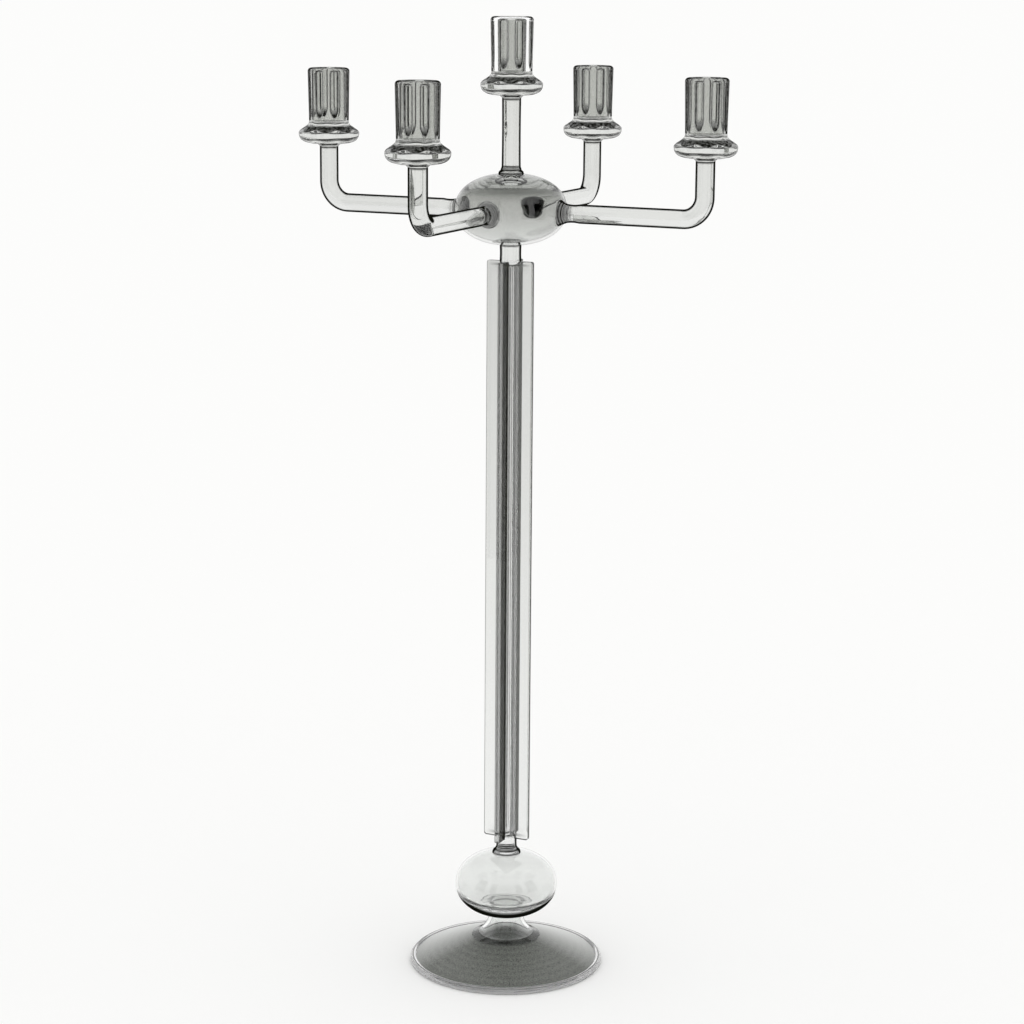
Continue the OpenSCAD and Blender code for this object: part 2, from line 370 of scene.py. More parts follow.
def piece(name, finishes, outside, air=None):
    """A glass piece that stands for the CAD node of the same name: its outside, and the air blown into it.
    It throws no shadow of its own, since glass lets the studio's light through to the floor."""
    mesh = bmesh.new()
    skin(mesh, outside)
    if air:
        skin(mesh, air, hollow=True)
    data = bpy.data.meshes.new(name)
    mesh.to_mesh(data)
    mesh.free()
    for finish in finishes:
        data.materials.append(finish)
    made = bpy.data.objects.new("glass_" + name, data)
    bpy.context.scene.collection.objects.link(made)
    made.visible_shadow = False
    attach(made, "root")
    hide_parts(name)


# ---- Foot and lower bulb --------------------------------------------------------------------------------


def dish_z(r):
    """Height of the dish's upper face at radius r."""
    return dish_edge + (dish_top - dish_edge) * (1 - (r / dish_r) ** DISH_BOW)


def on_dish(start, end, n):
    """Points on the dish's upper face between two radii."""
    return [(r, dish_z(r)) for r in steps(start, end, n)]


def rim_shape():
    """The rolled, fire-polished rim, ground flat underneath."""
    half = RIM_T / 2
    seat = degrees(acos((dish_r - rim_r) / half))
    flat = degrees(acos(rim_z / half))

    def arc(start, end, n):
        """Points round the rim's section between two angles in degrees."""
        turned = [radians(t) for t in steps(start, end, n)]
        return [(rim_r + half * cos(t), rim_z + half * sin(t)) for t in turned]

    inside = arc(-90 - flat, -seat, 8)
    return outline(
        (GLASS, arc(seat, flat - 90, 40) + inside[:1]),
        (SEAM, inside),
        (SEAM, [(dish_r, dish_edge - DISH_WALL), (dish_r, dish_edge)]),
    )


def rim_lines(p):
    """Painted shade: the rolled rim's dark lines, where its turn would bend the light away."""
    angle = degrees(atan2(p.z - rim_z, p.xy.length - rim_r))
    return max(shade * line(angle - at, width) for at, width, shade in RIM_LINES)


def dish_shape():
    """The hollow dish, fused to the rim round its edge. It isn't clear, so its face runs on under the
    neck."""
    return outline(
        (GLASS, [(r, dish_z(r) - DISH_WALL) for r in steps(0, dish_r, 48)]),
        (SEAM, [(dish_r, dish_edge)]),
        (GLASS, on_dish(dish_r, flare_r, 36)),
        (GLASS, on_dish(flare_r, flare_inner_r, 4)),
        (GLASS, on_dish(flare_inner_r, 0, 14)),
    )


def trumpet_side(inset):
    """One side of the neck's trumpet, from the dish up to where it stands upright."""
    neck = FOOT_NECK_R - inset
    flare = neck + FLARE - inset
    lift = bulb_low - dish_z(neck) - FLARE_EDGE
    curve = []
    for t in steps(0, pi / 2, 24):
        r = flare - (flare - neck) * sin(t)
        curve.append((r, dish_z(r) + FLARE_EDGE + lift * (1 - cos(t))))
    return [(flare, dish_z(flare))] + curve


flare_inner_r = trumpet_side(FOOT_NECK_WALL)[0][0]


def trumpet_shape():
    """The neck of the foot: a tube that flares out over the dish and opens under the bulb."""
    outer = -at_radius(FOOT_NECK_R, lower_oval)
    inner = -at_radius(FOOT_NECK_R - FOOT_NECK_WALL, lower_oval)
    return outline(
        (GLASS, trumpet_side(0) + [on_oval(lower_oval, outer)]),
        (SEAM, oval(lower_oval, outer, inner, 4)),
        (GLASS, trumpet_side(FOOT_NECK_WALL)[::-1]),
        (SEAM, on_dish(flare_inner_r, flare_r, 4)),
    )


def cavity(bulb, wall, thick, side):
    """The air inside a blown bulb. The glass is thick on one side, above (1) or below (-1), where the air
    is square-shouldered."""
    z, half_width, half_height = bulb
    points = []
    for t in steps(-90, 90, 64):
        heavy = t * side > 0
        across, up = bow(t, CAVITY_BOW if heavy else BULB_BOW)
        points.append(((half_width - wall) * across, z + (half_height - (thick if heavy else wall)) * up))
    return outline((GLASS, points))


def lower_bulb_shape():
    """The bulb's outside, with the faces where the neck and the skirt are fused on."""
    inner = -at_radius(FOOT_NECK_R - FOOT_NECK_WALL, lower_oval)
    outer = -at_radius(FOOT_NECK_R, lower_oval)
    skirt = at_radius(lower_seal_r, lower_oval)
    return outline(
        (GLASS, oval(lower_oval, -90, inner, 8)),
        (SEAM, oval(lower_oval, inner, outer, 4)),
        (GLASS, oval(lower_oval, outer, skirt, 64)),
        (SEAM, oval(lower_oval, skirt, 90, 8)),
    )


def thick_base(p):
    """Painted shade where the lower bulb's glass is thick: all of it below the shoulder of its cavity."""
    return smooth((bulb_low + THICK_BASE - p.z) / THICK_FADE)


def skirt_shape(bulb, top, neck_r, skirt_r, depth):
    """A ringed skirt: it sits on a bulb and draws in to the neck above it."""
    start = at_radius(skirt_r, bulb)
    crown = on_oval(bulb, 90)[1]
    side = [on_oval(bulb, start)]
    for u in steps(0, 1, 32)[1:]:
        r = neck_r + (skirt_r - neck_r) * (1 - sin(u * pi / 2))
        ripple = depth * sin(u * SKIRT_RINGS * pi) ** 2 * (1 - u * u)
        side.append((r + ripple, crown + (top - crown) * u))
    return outline(
        (SEAM, oval(bulb, 90, start, 8)),
        (GLASS, side),
        (SEAM, [(0, top)]),
    )


def skirt_lines(bottom, top):
    """Painted shade: dark lines in the hollows between a skirt's rings, heights in millimetres."""
    return lambda p: abs(cos((p.z - bottom) / (top - bottom) * SKIRT_RINGS * pi)) ** 1.5


def rod_side(bottom, top, r, n):
    """The side of a short upright length of rod, drawn in a hair between its two junctions."""
    return [(r - WAIST * sin(pi * u), bottom + (top - bottom) * u) for u in steps(0, 1, n)]


def rod_shape(bottom, top, r):
    """A short upright length of rod, fused at both ends."""
    return outline(
        (SEAM, [(0, bottom), (r, bottom)]),
        (GLASS, rod_side(bottom, top, r, 48)),
        (SEAM, [(0, top)]),
    )


def ring_line(z, spread):
    """The dark ring where a rod is fused on at a height, with its half width."""
    return lambda p: line(p.z - z, spread)


# ---- Column ---------------------------------------------------------------------------------------------


def fin_outline():
    """The column's section: four fins with rounded edges, and a hollow curve between each two."""
    edge, half = fin_r - FIN_EDGE_R, FIN_HALF - FIN_EDGE_R
    # Each arc is its centre, its radius, the angles it runs between, and its steps
    arcs = (
        (edge, -half, FIN_EDGE_R, -90, 0, 6),
        (edge, half, FIN_EDGE_R, 0, 90, 6),
        (valley_centre, valley_centre, VALLEY_R, 270, 180, 20),
    )
    quarter = []
    for x, y, r, start, end, n in arcs:
        turned = [radians(t) for t in steps(start, end, n)]
        quarter += [Vector((x + r * cos(t), y + r * sin(t))) for t in turned]
    return [Matrix.Rotation(k * pi / 2, 2) @ p for k in range(4) for p in quarter]


def drawn_in(depth, r):
    """How far a corner rounded to radius r is drawn in, at a depth below the end face."""
    return r - sqrt(max(r**2 - (r - min(depth, r)) ** 2, 0))


def column_rings():
    """The finned rod. Each end has its corners rounded, and the round neck runs into the hollows as an
    ogive."""
    section = fin_outline()
    normals = []
    for before, after in zip(section[-1:] + section[:-1], section[1:] + section[:1]):
        tangent = after - before
        normals.append(Vector((tangent.y, -tangent.x)).normalized())
    # Depths of the rings near an end: close together where the shape changes, then further and further
    # apart
    near = [END_ROUND * (1 - cos(t)) for t in steps(0, pi / 2, 5)]
    near += steps(END_ROUND, FIN_CORNER_R, 5)[1:] + steps(FIN_CORNER_R, TONGUE, 8)[1:]
    near += [TONGUE + 6, TONGUE + 30]
    levels = [(column_low + depth, depth, lower_neck_r) for depth in near]
    levels += [(z, column_top - z, upper_neck_r) for z in steps(column_low + 80, column_top - 80, 8)]
    levels += [(column_top - depth, depth, upper_neck_r) for depth in near[::-1]]
    rows = []
    for z, depth, neck_r in levels:
        inset = drawn_in(depth, END_ROUND)
        corner = fin_r - drawn_in(depth, FIN_CORNER_R)
        past = depth / TONGUE
        tongue = neck_r * sqrt(1 - past**2 * (1 - TONGUE_TIP**2)) if past < 1 else 0
        row = []
        for p, n in zip(section, normals):
            q = p - n * inset
            r = max(min(q.length, corner), tongue)
            row.append(Vector((*(q.normalized() * r), z)))
        rows.append(row)
    return rows


def column_shell():
    """The column with a cap at each end: bare glass on the fins, fused within the neck."""
    rows = column_rings()

    def cap(row, neck_r, z):
        """The neck's outline on the end face, level with it."""
        flat = [Vector((p.x, p.y, 0)) for p in row]
        return [p.normalized() * min(neck_r, p.length) + Vector((0, 0, z)) for p in flat]

    def darkness(p):
        """Painted shade: dark scrolls where the neck's tongues run into the hollows, and two dark streaks
        down each hollow."""
        end = min(p.z - column_low, column_top - p.z)
        reach_in = smooth((SCROLL_REACH - p.xy.length) / SCROLL_FADE)
        scroll = line(end - TONGUE * SCROLL_AT, SCROLL_SPREAD) * reach_in
        if end <= TONGUE or max(abs(p.x), abs(p.y)) >= valley_centre:
            return scroll
        off = atan2(valley_centre - abs(p.y), valley_centre - abs(p.x)) - pi / 4
        return max(scroll, line(abs(off) - STREAK_ANGLE, STREAK_SPREAD))

    bottom = cap(rows[0], lower_neck_r, column_low)
    top = cap(rows[-1], upper_neck_r, column_top)
    rows = [[Vector((0, 0, column_low))], bottom] + rows + [top, [Vector((0, 0, column_top))]]
    bands = [SEAM] + [GLASS] * (len(rows) - 3) + [SEAM]
    return shell(rows, bands, darkness=darkness)


# ---- Hub ------------------------------------------------------------------------------------------------


def upper_neck_shape():
    """The short neck that runs up into the underside of the hub."""
    meet = -at_radius(upper_neck_r, hub_oval)
    top = on_oval(hub_oval, meet)[1]
    return outline(
        (SEAM, [(0, column_top), (upper_neck_r, column_top)]),
        (GLASS, rod_side(column_top, top, upper_neck_r, 32)),
        (SEAM, oval(hub_oval, meet, -90, 6)),
    )


def hub_shape():
    """The hub's outside, fused to the neck below it and to the stem's ring on top."""
    bottom, top = -at_radius(upper_neck_r, hub_oval), at_radius(top_seal_r, hub_oval)
    return outline(
        (SEAM, oval(hub_oval, -90, bottom, 6)),
        (GLASS, oval(hub_oval, bottom, top, 120)),
        (SEAM, oval(hub_oval, top, 90, 6)),
    )


def hub_outside():
    """The hub's outside, with painted shade for what shows through it: each rod's end as a dark disc in a
    bright collar with a dark outline, and the neck's end as a darker patch below."""
    points, bands = hub_shape()

    def darkness(p):
        """The painted discs and their collars, at their distance from the nearest arm's axis, and the
        painted shade of the neck's end.
        """
        off = Vector((min(abs(p.x), abs(p.y)), p.z - arm_z)).length
        disc = smooth((rod_r + DISC_OVER - off) / DISC_EDGE)
        collar = line(off - seal_r, DISC_COLLAR)
        inside = smooth((upper_neck_r + NECK_SHADE_OVER - p.xy.length) / NECK_SHADE_FADE)
        return max(disc, collar, NECK_SHADE * inside if p.z < hub_z else 0)

    return shell([ring(r, z, 2 * SEGMENTS) for r, z in points], bands, darkness=darkness)


def around_x(x, r):
    """A ring of points about an arm's axis, which runs along X."""
    turned = [tau * i / ARM_SEGMENTS for i in range(ARM_SEGMENTS)]
    return [Vector((x, r * cos(t), arm_z + r * sin(t))) for t in turned]


def on_hub(p):
    """The point moved along X onto the hub's surface."""
    level = hub_r * (1 - abs((p.z - hub_z) / hub_c) ** BULB_BOW) ** (1 / BULB_BOW)
    return Vector((sqrt(level**2 - p.y**2), p.y, p.z))


def arm_seal_shell():
    """A ridged ring: soft glass pushed into folds where the arm meets the hub, with painted shade in its
    folds.
    """
    start = seal_end - ARM_SEAL_L
    face = on_hub(Vector((0, 0, arm_z)))
    rows, bands = [[face]], []
    for r in steps(0, seal_r, 10)[1:]:
        rows.append([on_hub(p) for p in around_x(start, r)])
        bands.append(SEAM)
    for u in steps(0, 1, 48)[1:]:
        fold = FOLD * (sin(u * SEAL_FOLDS * pi) ** 2 - 0.8) * sin(pi * u) ** 0.5
        r = seal_r + (rod_r - seal_r) * u**0.8 + fold
        row = around_x(start + ARM_SEAL_L * u, r)
        rows.append([Vector((max(p.x, on_hub(p).x + 0.02 * u), p.y, p.z)) for p in row])
        bands.append(GLASS)
    rows.append([Vector((seal_end, 0, arm_z))])
    bands.append(SEAM)

    def darkness(p):
        """Painted shade: each fold holds a dark line, and the last of the ring is clearer."""
        u = (p.x - start) / ARM_SEAL_L
        return (1 - 0.6 * sin(u * SEAL_FOLDS * pi) ** 2) * (1.0 if u < 0.9 else 0.3)

    return shell(rows, bands, False, darkness, [OUTWARD] * len(rows))


# ---- Arms -----------------------------------------------------------------------------------------------


def arm_shell():
    """One round rod, bent once to an L. It thins beside its ring and swells a hair at the bend."""
    end = high("arm_right").z
    run = reach - BEND_R
    path = [(x, arm_z, 0) for x in steps(seal_end, run, 60)]
    path += [(run + BEND_R * sin(t), arm_z + BEND_R * (1 - cos(t)), t) for t in steps(0, pi / 2, 28)[1:]]
    path += [(reach, z, pi / 2) for z in steps(arm_z + BEND_R, end, 32)[1:]]
    turned = [tau * i / ARM_SEGMENTS for i in range(ARM_SEGMENTS)]
    rows, along = [[Vector((seal_end, 0, arm_z))]], [OUTWARD]
    for x, z, lean in path:
        past = min((x - seal_end) / THIN_LENGTH, 1)
        r = rod_r - THINNED * sin(pi * past) + SWELL * sin(2 * lean)
        out = Vector((-sin(lean), 0, cos(lean)))
        along.append(Vector((cos(lean), 0, sin(lean))))
        rows.append([Vector((x, 0, z)) + r * (cos(t) * out + sin(t) * Vector((0, 1, 0))) for t in turned])
    rows.append([Vector((reach, 0, end))])
    along.append(UPRIGHT)
    bands = [SEAM] + [GLASS] * (len(rows) - 3) + [SEAM]

    def darkness(p):
        """Dark rings where the rod joins its collar and leaves its ridged ring."""
        below = line(end - COLLAR_JOINT[0] - p.z, COLLAR_JOINT[1])
        return below + SEAL_JOINT_SHADE * line(p.x - seal_end - SEAL_JOINT[0], SEAL_JOINT[1])

    return shell(rows, bands, False, darkness, along)


# ---- Candle cups ----------------------------------------------------------------------------------------


def collar_shell():
    """The bulged drip collar, in its own frame: a solid gather, pinched into lobes under the socket's
    ribs."""
    shoulder = rod_r + COLLAR_FILLET

    def lobed(r, depth):
        """A radius pinched in under each hollow of the socket, as a function of the angle."""
        return lambda a: r - depth * (1 + cos(RIBS * a)) / 2

    rows = [[Vector((0, 0, -COLLAR_DOWN))], ring(rod_r, -COLLAR_DOWN)]
    for t in steps(-90, 0, 24):
        across, up = bow(t, COLLAR_BOW)
        r = shoulder + (collar_r - shoulder) * across
        rows.append(ring(lobed(r, PINCH * sin(pi * across) ** 2), (COLLAR_DOWN - COLLAR_FILLET) * up))
    for u in steps(0, 1, 28)[1:]:
        r = SOCKET_FOOT_R + (collar_r - SOCKET_FOOT_R) * ((1 + cos(pi * u)) / 2) ** COLLAR_SWEEP
        rows.append(ring(lobed(r, PINCH * sin(pi * u)), COLLAR_UP * u))
    bands = [SEAM] + [GLASS] * (len(rows) - 2)
    rows.append(ring(BORE_R, COLLAR_UP))
    bands.append(SEAM)
    for t in steps(0, pi / 2, 12)[1:]:
        rows.append(ring(BORE_R * cos(t) if t < pi / 2 - 0.01 else 0, COLLAR_UP - BORE_DISH * sin(t)))
        bands.append(GLASS)

    def darkness(p):
        """Painted shade: a dark wavy band round the collar's shoulder, fading under the ribs, a thin dark
        line round its underside, and a light painted shade over the socket's floor."""
        r, wave = p.xy.length, cos(RIBS * atan2(p.y, p.x))
        if p.z > COLLAR_UP - BORE_DISH - 0.1 and r < BORE_R - 0.1:
            return FLOOR_SHADE
        start = BAND_LOW + BAND_WAVE * wave
        band = smooth((p.z - start) / BAND_FADE[0]) * smooth((BAND_HIGH - p.z) / BAND_FADE[1])
        under = UNDER_SHADE * line(p.z + UNDER_DROP - UNDER_WAVE * wave, UNDER_SPREAD)
        return BAND_SHADE * band * smooth((r - BAND_REACH) / BAND_REACH_FADE) + under

    return shell(rows, bands, darkness=darkness)


def hollow_at(angle, z):
    """How deep a place on a socket lies between the ribs: 0 on a rib, 1 on a hollow's floor. A hollow
    opens slowly above the foot, like a teardrop, and closes fast below the rim."""
    foot = smooth((z - HOLLOW_FOOT[0]) / HOLLOW_FOOT[1]) ** 0.35
    rim = smooth((socket_height - HOLLOW_RIM[0] - z) / HOLLOW_RIM[1]) ** 0.5
    edge = 1.05 - (1.05 + HOLLOW_WIDTH) * min(foot, rim)
    return smooth((cos(RIBS * angle) - edge) / HOLLOW_FLANK)


def socket_shell():
    """A ribbed socket above its foot: its hollows start as rounded teardrops and its lip is
    fire-polished."""
    def wall(z, inset=0.0):
        """The socket's outside at a height, as a function of the angle."""
        crest = SOCKET_FOOT_R + (socket_r - SOCKET_FOOT_R) * z / socket_height - inset
        depth = HOLLOW_DEPTH[0] + (HOLLOW_DEPTH[1] - HOLLOW_DEPTH[0]) * z / socket_height
        return lambda a: crest - depth * hollow_at(a, z)

    rows = [ring(wall(z), z, 2 * SEGMENTS) for z in steps(0, socket_height - LIP, 60)]
    for t in steps(0, pi / 2, 10)[1:]:
        z = socket_height - LIP * (1 - sin(t))
        rows.append(ring(wall(z, LIP * (1 - cos(t))), z, 2 * SEGMENTS))
    for t in steps(pi / 2, pi, 6)[1:]:
        z = socket_height - LIP_INNER * (1 - sin(t))
        rows.append(ring(BORE_R + LIP_INNER * (1 + cos(t)), z, 2 * SEGMENTS))
    rows += [ring(BORE_R, z, 2 * SEGMENTS) for z in steps(socket_height, 0, 3)[1:]]
    bands = [GLASS] * (len(rows) - 1) + [SEAM]

    def darkness(p):
        """Painted shade: the hollows' flanks show as dark outlines, heavier towards the foot and along their
        upper ends."""
        angle = atan2(p.y, p.x)
        if p.xy.length < BORE_R + 0.2:
            return 0.0
        deep = hollow_at(angle, p.z)
        flank = smooth(8 * deep * (1 - deep))
        foot = deep * smooth((HOLLOW_DARK_FOOT[0] - p.z) / HOLLOW_DARK_FOOT[1])
        lip = line(p.z - (socket_height - HOLLOW_RIM[0] - LIP_LINE_DROP), LIP_LINE_SPREAD)
        return max(flank, foot, LIP_LINE_SHADE * lip * smooth((cos(RIBS * angle) + 0.5) / 0.6))

    return shell(rows, bands, True, darkness, [UPRIGHT] * len(rows))


# ---- Materials ------------------------------------------------------------------------------------------


def linear(hex_colour):
    """An sRGB hex colour as linear RGBA."""
    channels = [int(hex_colour[i : i + 2], 16) / 255 for i in (1, 3, 5)]
    return [c / 12.92 if c <= 0.04045 else ((c + 0.055) / 1.055) ** 2.4 for c in channels] + [1]


def node(tree, kind, inputs=None, **settings):
    """Adds a node: settings are its own properties, and each input is a value or the output that feeds
    it."""
    made = tree.nodes.new(kind)
    for name, value in settings.items():
        setattr(made, name, value)
    for name, value in (inputs or {}).items():
        if isinstance(value, bpy.types.NodeSocket):
            tree.links.new(value, made.inputs[name])
        else:
            made.inputs[name].default_value = value
    return made


def new_tree(name):
    """A new material and its empty node tree."""
    material = bpy.data.materials.new(name)
    material.use_nodes = True
    material.node_tree.nodes.clear()
    return material, material.node_tree


# Borosilicate glass, as lampworkers draw it
GLASS_IOR = 1.473
# Painted shade: the colour painted into a fold or a limb of glass, for the dark of a room behind the lamps
# that it would show
PAINTED_SHADE_COLOUR = "#12130E"


def faded(tree, place, stops):
    """A tint that changes with height: stops are (height in mm, hex colour), lowest first."""
    lowest, highest = stops[0][0], stops[-1][0]
    z = node(tree, "ShaderNodeSeparateXYZ", {"Vector": place}).outputs["Z"]
    share = node(tree, "ShaderNodeMapRange", {"Value": z, "From Min": lowest * MM, "From Max": highest * MM})
    ramp = node(tree, "ShaderNodeValToRGB", {"Fac": share.outputs["Result"]})
    ends = ramp.color_ramp.elements
    for i, (height, colour) in enumerate(stops):
        at = (height - lowest) / (highest - lowest)
        stop = ends[i] if i in (0, 1) else ends.new(at)
        stop.position = at
        stop.color = linear(colour)
    return ramp.outputs["Color"]


def blown_glass(name, stops, limb, thick_limb=None, rod=False, ripple_mm=9.0, ripple_depth=0.02,
                lengthwise=1.0, shade_speck_mm=1.6, dull=1.0):
    """Blown or drawn glass, flame-polished. Its tint takes painted shade where it is seen edge on, between
    the two limb values, and where the dark attribute paints the shade of its folds. With a thick limb, the
    dark attribute marks a bulb's thick glass instead: there the painted limb darkens sooner, between the
    other two values. A rod is judged across the way it was drawn. A dark place shines and lets light through
    less, by how dull it is.
    Slow heat ripples bend what shows through the glass, drawn out lengthwise on a pulled cane, and the
    painted shade of the folds is broken into fine flecks."""
    material, tree = new_tree(name)
    place = node(tree, "ShaderNodeTexCoord").outputs["Object"]
    fold = node(tree, "ShaderNodeAttribute", attribute_name=DARK).outputs["Fac"]
    slant = node(tree, "ShaderNodeLayerWeight", {"Blend": 0.5}).outputs["Facing"]
    if rod:
        # How squarely the surface faces the view, once the view's share along the rod is taken out
        way = node(tree, "ShaderNodeAttribute", attribute_name=ALONG)
        end_on = node(tree, "ShaderNodeLayerWeight", {"Blend": 0.5, "Normal": way.outputs["Vector"]})
        toward = node(tree, "ShaderNodeMath", {0: 1.0, 1: end_on.outputs["Facing"]}, operation="SUBTRACT")
        square = node(tree, "ShaderNodeMath", {0: toward.outputs["Value"], 1: 2.0}, operation="POWER")
        across = node(tree, "ShaderNodeMath", {0: 1.0, 1: square.outputs["Value"]}, operation="SUBTRACT")
        widen = node(tree, "ShaderNodeMath", {0: across.outputs["Value"], 1: -0.5}, operation="POWER")
        faced = node(tree, "ShaderNodeMath", {0: 1.0, 1: slant}, operation="SUBTRACT")
        level = node(tree, "ShaderNodeMath", {0: faced.outputs["Value"], 1: widen.outputs["Value"]},
                     operation="MULTIPLY")
        slant = node(tree, "ShaderNodeMath", {0: 1.0, 1: level.outputs["Value"]},
                     operation="SUBTRACT").outputs["Value"]
    # Painted shade at the limbs: the tint goes dark where the glass is seen edge on
    edge = node(tree, "ShaderNodeMapRange", {"Value": slant, "From Min": limb[0], "From Max": limb[1]},
                interpolation_type="SMOOTHSTEP")
    if thick_limb:
        for end, thin, heavy in zip(("From Min", "From Max"), limb, thick_limb):
            sooner = node(tree, "ShaderNodeMath", {0: fold, 1: heavy - thin, 2: thin},
                          operation="MULTIPLY_ADD")
            tree.links.new(sooner.outputs["Value"], edge.inputs[end])
        dark = edge.outputs["Result"]
    else:
        # Painted shade of the folds, broken by a fine noise into flecks
        flecks = node(tree, "ShaderNodeTexNoise", {
            "Vector": place, "Scale": 1 / (shade_speck_mm * MM), "Detail": 3.0})
        speckled_shade = node(tree, "ShaderNodeMapRange", {
            "Value": flecks.outputs["Fac"], "From Min": 0.35, "From Max": 0.60, "To Min": 0.88,
            "To Max": 1.05})
        painted_fold_shade = node(tree, "ShaderNodeMath", {0: fold, 1: speckled_shade.outputs["Result"]}, operation="MULTIPLY",
                    use_clamp=True)
        dark = node(tree, "ShaderNodeMath", {0: edge.outputs["Result"], 1: painted_fold_shade.outputs["Value"]},
                    operation="MAXIMUM").outputs["Value"]
    # The tint, with the painted shade mixed in
    tint = node(tree, "ShaderNodeMix", {"Factor": dark, 6: faded(tree, place, stops), 7: linear(PAINTED_SHADE_COLOUR)},
                data_type="RGBA")
    drawn = node(tree, "ShaderNodeMapping", {"Vector": place, "Scale": (1, 1, 1 / lengthwise)})
    ripples = node(tree, "ShaderNodeTexNoise", {
        "Vector": drawn.outputs["Vector"], "Scale": 1 / (ripple_mm * MM), "Detail": 2.0})
    relief = node(tree, "ShaderNodeBump",
                  {"Height": ripples.outputs["Fac"], "Strength": 1.0, "Distance": ripple_depth * MM})
    gloss = node(tree, "ShaderNodeMath", {0: dark, 1: -0.5 * dull, 2: 0.5}, operation="MULTIPLY_ADD",
                 use_clamp=True)
    bright = node(tree, "ShaderNodeMath", {0: dark, 1: -dull, 2: 1.0}, operation="MULTIPLY_ADD",
                  use_clamp=True)
    surface = node(tree, "ShaderNodeBsdfPrincipled", {
        "Base Color": tint.outputs[2], "Roughness": 0.0, "IOR": GLASS_IOR,
        "Transmission Weight": bright.outputs["Value"], "Specular IOR Level": gloss.outputs["Value"],
        "Normal": relief.outputs["Normal"]})
    node(tree, "ShaderNodeOutputMaterial", {"Surface": surface.outputs["BSDF"]})
    return material


def satin_dish(name, core, speck, reflection_colour, speck_mm=0.8, ring_mm=5.146):
    """Smoked glass with a frosted underside. From above it is a satin grey between two colours, with a fine
    speckle from the frosting and faint turned rings. Where it is seen at a low angle a painted reflection of
    the pale studio turns it towards a paler colour."""
    material, tree = new_tree(name)
    place = node(tree, "ShaderNodeTexCoord").outputs["Object"]
    grains = node(tree, "ShaderNodeTexNoise", {
        "Vector": place, "Scale": 1 / (speck_mm * MM), "Detail": 4.0, "Roughness": 0.7})
    # At a scale of 1, a wave repeats 20 times in a full turn's length
    rings = node(tree, "ShaderNodeTexWave", {
        "Vector": place, "Scale": tau / 20 / (ring_mm * MM), "Distortion": 1.2, "Detail": 3.0,
        "Detail Scale": 0.6}, wave_type="RINGS", rings_direction="Z")
    frost = node(tree, "ShaderNodeMapRange", {
        "Value": grains.outputs["Fac"], "From Min": 0.36, "From Max": 0.64})
    turned = node(tree, "ShaderNodeMath", {0: rings.outputs["Fac"], 1: 0.14}, operation="MULTIPLY")
    share = node(tree, "ShaderNodeMath", {0: frost.outputs["Result"], 1: turned.outputs["Value"]},
                 operation="ADD", use_clamp=True)
    satin = node(tree, "ShaderNodeMix", {
        "Factor": share.outputs["Value"], 6: linear(core), 7: linear(speck)}, data_type="RGBA")
    # Painted reflection: the colour goes paler where the dish is seen at a low angle
    slant = node(tree, "ShaderNodeLayerWeight", {"Blend": 0.5}).outputs["Facing"]
    painted_reflection = node(tree, "ShaderNodeMapRange", {
        "Value": slant, "From Min": 0.50, "From Max": 0.95, "To Max": 0.95}).outputs["Result"]
    tint = node(tree, "ShaderNodeMix", {"Factor": painted_reflection, 6: satin.outputs[2], 7: linear(reflection_colour)},
                data_type="RGBA")
    relief = node(tree, "ShaderNodeBump", {
        "Height": grains.outputs["Fac"], "Strength": 1.0, "Distance": 0.02 * MM})
    surface = node(tree, "ShaderNodeBsdfPrincipled", {
        "Base Color": tint.outputs[2], "Roughness": 0.42, "IOR": GLASS_IOR, "Transmission Weight": 0.0,
        "Normal": relief.outputs["Normal"]})
    node(tree, "ShaderNodeOutputMaterial", {"Surface": surface.outputs["BSDF"]})
    return material


def fused_seam():
    """The place where two pieces melted into one: nothing is left there to bend the light."""
    material, tree = new_tree("fused_seam")
    clear = node(tree, "ShaderNodeBsdfTransparent")
    node(tree, "ShaderNodeOutputMaterial", {"Surface": clear.outputs["BSDF"]})
    return material


def white_rim_backing():
    """Painted light: a white face where the clear rim was rolled onto the dish, which makes the rim look
    bright through its glass.
    """
    material, tree = new_tree("white_rim_backing")
    surface = node(tree, "ShaderNodeBsdfDiffuse", {"Color": linear("#FFFFFF")})
    node(tree, "ShaderNodeOutputMaterial", {"Surface": surface.outputs["BSDF"]})
    return material


seam = fused_seam()
# Clear glass, worked thin: only its limbs take a painted dark line
rim_glass = blown_glass("clear_rolled_rim", [(0, "#FFFFFF"), (6, "#FFFFFF")], limb=(0.93, 1.0), shade_speck_mm=0.6)
neck_glass = blown_glass("clear_trumpet", [(20, "#FBFCFB"), (40, "#F8FAF9")], limb=(0.70, 0.92))
# Clear bulb glass with painted shade in its thick base: its tint greys towards the foot and its limb darkens
# sooner there
bulb_glass = blown_glass("clear_blown_bulb", [
    (bulb_low, "#DADBD9"), (bulb_low + 5, "#E2E3E1"), (bulb_low + 9, "#F4F5F4"), (bulb_top, "#F3F4F3"),
], limb=(0.84, 1.0), thick_limb=(0.40, 0.62))
seal_glass = blown_glass("clear_skirt", [(70, "#F2F3F2"), (90, "#EEEFEE")], limb=(0.32, 0.52), rod=True)
# A dark satin grey, frosted below, with a painted reflection that makes it pale towards the far side
dish_glass = satin_dish("smoke_dish_frosted_below", "#353733", "#767973", "#DCDDDB")
# Drawn cane, smoke-tinted towards the top: its limbs are painted black, for the dark a solid rod's limbs
# show
column_glass = blown_glass("drawn_column", [(86, "#F3F4F3"), (300, "#E4E5E3"), (468, "#D6D7D5")],
                           limb=(0.28, 0.46), lengthwise=20.0, dull=0.5)
rod_glass = blown_glass("drawn_rod", [(470, "#E4E5E3"), (600, "#DADBD8")], limb=(0.30, 0.47), rod=True)
